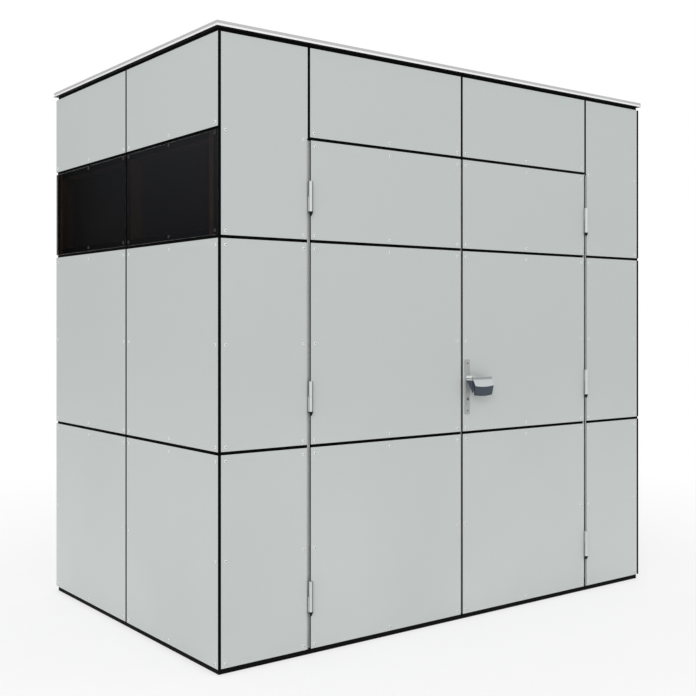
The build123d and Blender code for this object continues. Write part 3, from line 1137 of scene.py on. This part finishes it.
# %% Screw the lock plates
screw_edge = 0.015
key_stand_out = 0.002
plate_low, plate_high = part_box("lock_plates")
plate_middle = (plate_low.x + plate_high.x) / 2
levels = (plate_low.z + screw_edge, plate_high.z - screw_edge)
outer_face = -plate_low.y - key_stand_out
inner_face = plate_high.y - key_stand_out
plate_spots = [on_wall("front", plate_middle, level, outer_face) for level in levels]
plate_spots += [on_wall("back", plate_middle, level, inner_face) for level in levels]
settle(copy_to(plate_screw, "lock_plate_screws", plate_spots), None, "right_leaf")

# %% [markdown]
# A hinge has a fixed plate on the post under a moving plate on the stile. Both are screwed through
# the face that looks into the hinge joint.

# %% Screw the hinge plates
hinge_plate = 0.003
screw_depth = -0.734
screw_spread = 0.015
fixed_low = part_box("fixed_hinge_halves")[0]
moving_low, moving_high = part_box("right_moving_hinge_halves")
half_hinge = moving_low.z - fixed_low.z
first_hinge, last_hinge = moving_low.z, moving_high.z - half_hinge
hinge_levels = [first_hinge, (first_hinge + last_hinge) / 2, last_hinge]


def hinge_spots(hand, facing, reach, shift):
    """Two screws on each hinge plate of one hand, which faces to or from the doorway's middle."""
    turn = wall_turns["right" if hand * facing > 0 else "left"]
    spots = []
    for level in hinge_levels:
        for step in (-screw_spread, screw_spread):
            place = (hand * reach, screw_depth, level + shift + step)
            spots.append(Matrix.Translation(place) @ turn)
    return spots


post_face = head_high.x - hinge_plate
stile_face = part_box("right_leaf_stiles")[1].x + hinge_plate
fixed_spots = []
for hand in leaf_bodies:
    fixed_spots += hinge_spots(hand, -1, post_face, -half_hinge / 2)
settle(copy_to(plate_screw, "fixed_hinge_screws", fixed_spots), None, "shed")
for hand, body in leaf_bodies.items():
    moving_spots = hinge_spots(hand, 1, stile_face, half_hinge / 2)
    settle(copy_to(plate_screw, body + "_hinge_screws", moving_spots), None, body)
bpy.data.objects.remove(plate_screw)

# %% [markdown]
# The lock shows on the leaves' edges too: a narrow plate with the withdrawn latch and bolt on the
# right leaf, and a plate with two openings on the left one. Both start as a flat bar. It is cut
# across where the openings begin and end, and the faces between are pushed in, so no second mesh
# has to be cut out of it. On the right leaf the latch and the bolt are drawn out again.

# %% Lock plates on the leaves' edges
edge_width = 0.020
edge_height = 0.200
edge_thickness = 0.002
edge_depth = 0.027
recess = 0.0016
opening_half_width = 0.0055
openings = [(0.0345, 0.012), (-0.0475, 0.017)]
opening_slack = 0.0001
bolt_gap = 0.0008
bolt_rim = 0.0007
bolt_foot = 0.0006
recess_foot = 0.0003


def in_opening(middle, rim=0.0, above=recess_foot):
    """Whether a place lies inside an opening, away from its rim and above a level."""
    beside = any(abs(middle.y - level) < half - rim for level, half in openings)
    return beside and abs(middle.x) < opening_half_width - rim and middle.z > above


def opening_face(middle, normal):
    return normal.z > facing_out and in_opening(middle)


def model_edge_plate(name, with_bolts):
    size = (edge_width, edge_height, edge_thickness)
    plate = start_bar(name, size, (0, 0, edge_thickness / 2))
    enter("EDIT")
    for side in (-1, 1):
        cut((side * opening_half_width, 0, 0), (1, 0, 0))
    for level, half in openings:
        for side in (-1, 1):
            cut((0, level + side * half, 0), (0, 1, 0))
    pick_faces(plate, opening_face)
    push(-recess)
    # The openings are painted dark as shade.
    two_finishes(plate, plate_steel, lambda middle, normal: in_opening(middle, -opening_slack))
    if with_bolts:
        pick_faces(plate, opening_face)
        bpy.ops.mesh.inset(thickness=bolt_gap)
        push(recess)
        pick_faces(plate, lambda middle, normal: in_opening(middle, bolt_rim, bolt_foot))
        plate.active_material_index = 0
        bpy.ops.object.material_slot_assign()
    enter("OBJECT")
    return plate


edge_level = lever_axis.z - openings[0][0]
stile_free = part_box("right_leaf_stiles")[0].x
for side, wall, with_bolts in ((1, "left", True), (-1, "right", False)):
    body = leaf_bodies[side]
    edge_plate = model_edge_plate(body + "_edge_plate", with_bolts)
    place = Matrix.Translation((side * stile_free, -frame_y + edge_depth, edge_level))
    edge_plate.data.transform(place @ wall_turns[wall])
    settle(edge_plate, None, body)

# %% [markdown]
# The roof's rubber comes in three widths. Each lap is a flat strip, welded over its neighbour: a
# bar whose upper edges are bevelled away. A painted line would catch no light along its edge.

# %% Roof laps
lap_width = 0.06
lap_height = 0.0015
lap_bevel = lap_height * 0.8
lap_end_gap = 0.002
rubber_widths = 3
membrane_low, membrane_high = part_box("roof_membrane")
lap_place = membrane_high.x / rubber_widths


def model_lap(place):
    size = (lap_width, membrane_high.y - membrane_low.y - lap_end_gap, lap_height)
    middle = (place, 0, membrane_high.z + lap_height / 2)
    return bevelled_bar("roof_lap", size, middle, looking(2), lap_bevel)


laps = join_pieces([model_lap(side * lap_place) for side in (-1, 1)], "roof_laps")
settle(laps, roof_rubber, "shed")

# %% [markdown]
# The studio: a wide pale floor that keeps the shed's shadow and fades to plain white away from it,
# and a white sky. What is seen of it straight, mirrored or through a pane is plain white. Its
# light is a little weaker and even, so the walls show their own colour.

# %% Floor and sky
floor_reach = 60
shadow_reach = 1.6
white_reach = 4.5
floor_white = 0.58
sky_light = 0.84


def seen(wire):
    """1 for rays that show something, and 0 for those that only carry light."""
    kinds = ("Is Camera Ray", "Is Glossy Ray", "Is Transmission Ray")
    straight, mirrored, passing = (wire.node("LightPath", output=kind) for kind in kinds)
    return straight.either(mirrored).either(passing)


def floor_finish():
    finish = Finish("studio_floor", Roughness=0.9, Specular_IOR_Level=0.1)
    x, y = finish.at(0), finish.at(1)
    away = finish.wire.math("SQRT", x * x + y * y)
    plain = away.ramp(shadow_reach, white_reach, floor_white, 1.0)
    white = finish.wire.node("Emission", {}, {"Color": grey(1), "Strength": 1.0})
    finish.mix_over(plain * seen(finish.wire), white)
    tone = 0.95 + finish.noise(3, 3) * 0.02
    return finish.feed(Base_Color=tone.shade(grey(1)))


floor = start_piece("studio_floor", bpy.ops.mesh.primitive_plane_add, size=2 * floor_reach)
floor.data.materials.append(floor_finish())

world = bpy.data.worlds.new("studio_sky")
bpy.context.scene.world = world
world.use_nodes = True
strength = seen(Wire(world.node_tree)).ramp(0, 1, sky_light, 1.0)
background = world.node_tree.nodes["Background"]
background.inputs["Color"].default_value = grey(1)
world.node_tree.links.new(strength.socket, background.inputs["Strength"])
print("floor and sky made")

# %% [markdown]
# Polished glass shows what stands around it, and in a white room a dark pane looks pale. A
# photographer would hang a dark card where the glass looks. This one is seen by mirrored rays
# alone, so it shades nothing else, and it is paler towards its top and its near end, which leaves
# a soft sheen on the panes.

# %% Dark card
card_place = -9.0
card_low, card_high = 9.0, 29.0
card_top = 9.0
sheen_foot, sheen_top = 1.0, 4.5
sheen_far, sheen_near = 21.0, 12.0
card_dark = (0.006, 0.006, 0.005, 1)
card_pale = (0.175, 0.18, 0.205, 1)


def card_finish():
    finish = Finish("dark_card")
    wire = finish.wire
    mirrored = wire.node("LightPath", output="Is Glossy Ray")
    rising = finish.at(2).ramp(sheen_foot, sheen_top)
    level = rising * finish.at(1).ramp(sheen_far, sheen_near)
    colour = level.between(card_dark, card_pale)
    card = wire.node("Emission", {}, {"Color": colour, "Strength": 1.0})
    clear = wire.node("BsdfTransparent")
    finish.surface(wire.node("MixShader", {}, {0: mirrored, 1: clear, 2: card}))
    return finish.material


card = start_piece("dark_card", bpy.ops.mesh.primitive_plane_add, size=1, rotation=(0, quarter, 0))
card_size = Matrix.Diagonal((1, card_high - card_low, card_top, 1))
card_middle = Matrix.Translation((card_place, (card_low + card_high) / 2, card_top / 2))
card.data.transform(card_middle @ card_size)
card.data.materials.append(card_finish())
print("card made")

# %% [markdown]
# The sky alone would leave the shed flat, and a small lamp would draw hard shadows. One broad
# soft lamp from the front left gives the walls and the lever a direction.

# %% Lamp
lamp_place = (-12.0, -10.6, 8.5)
lamp_target = Vector((0, 0, 1.1))
lamp_width = 7.0
lamp_watts = 670
lamp_data = bpy.data.lights.new("soft_lamp", "AREA")
lamp_data.shape = "DISK"
lamp_data.size = lamp_width
lamp_data.energy = lamp_watts
lamp = bpy.data.objects.new("soft_lamp", lamp_data)
lamp.location = lamp_place
lamp.rotation_euler = (lamp_target - lamp.location).to_track_quat("-Z", "Y").to_euler()
bpy.context.collection.objects.link(lamp)
print("lamp", lamp_data.energy, "W")
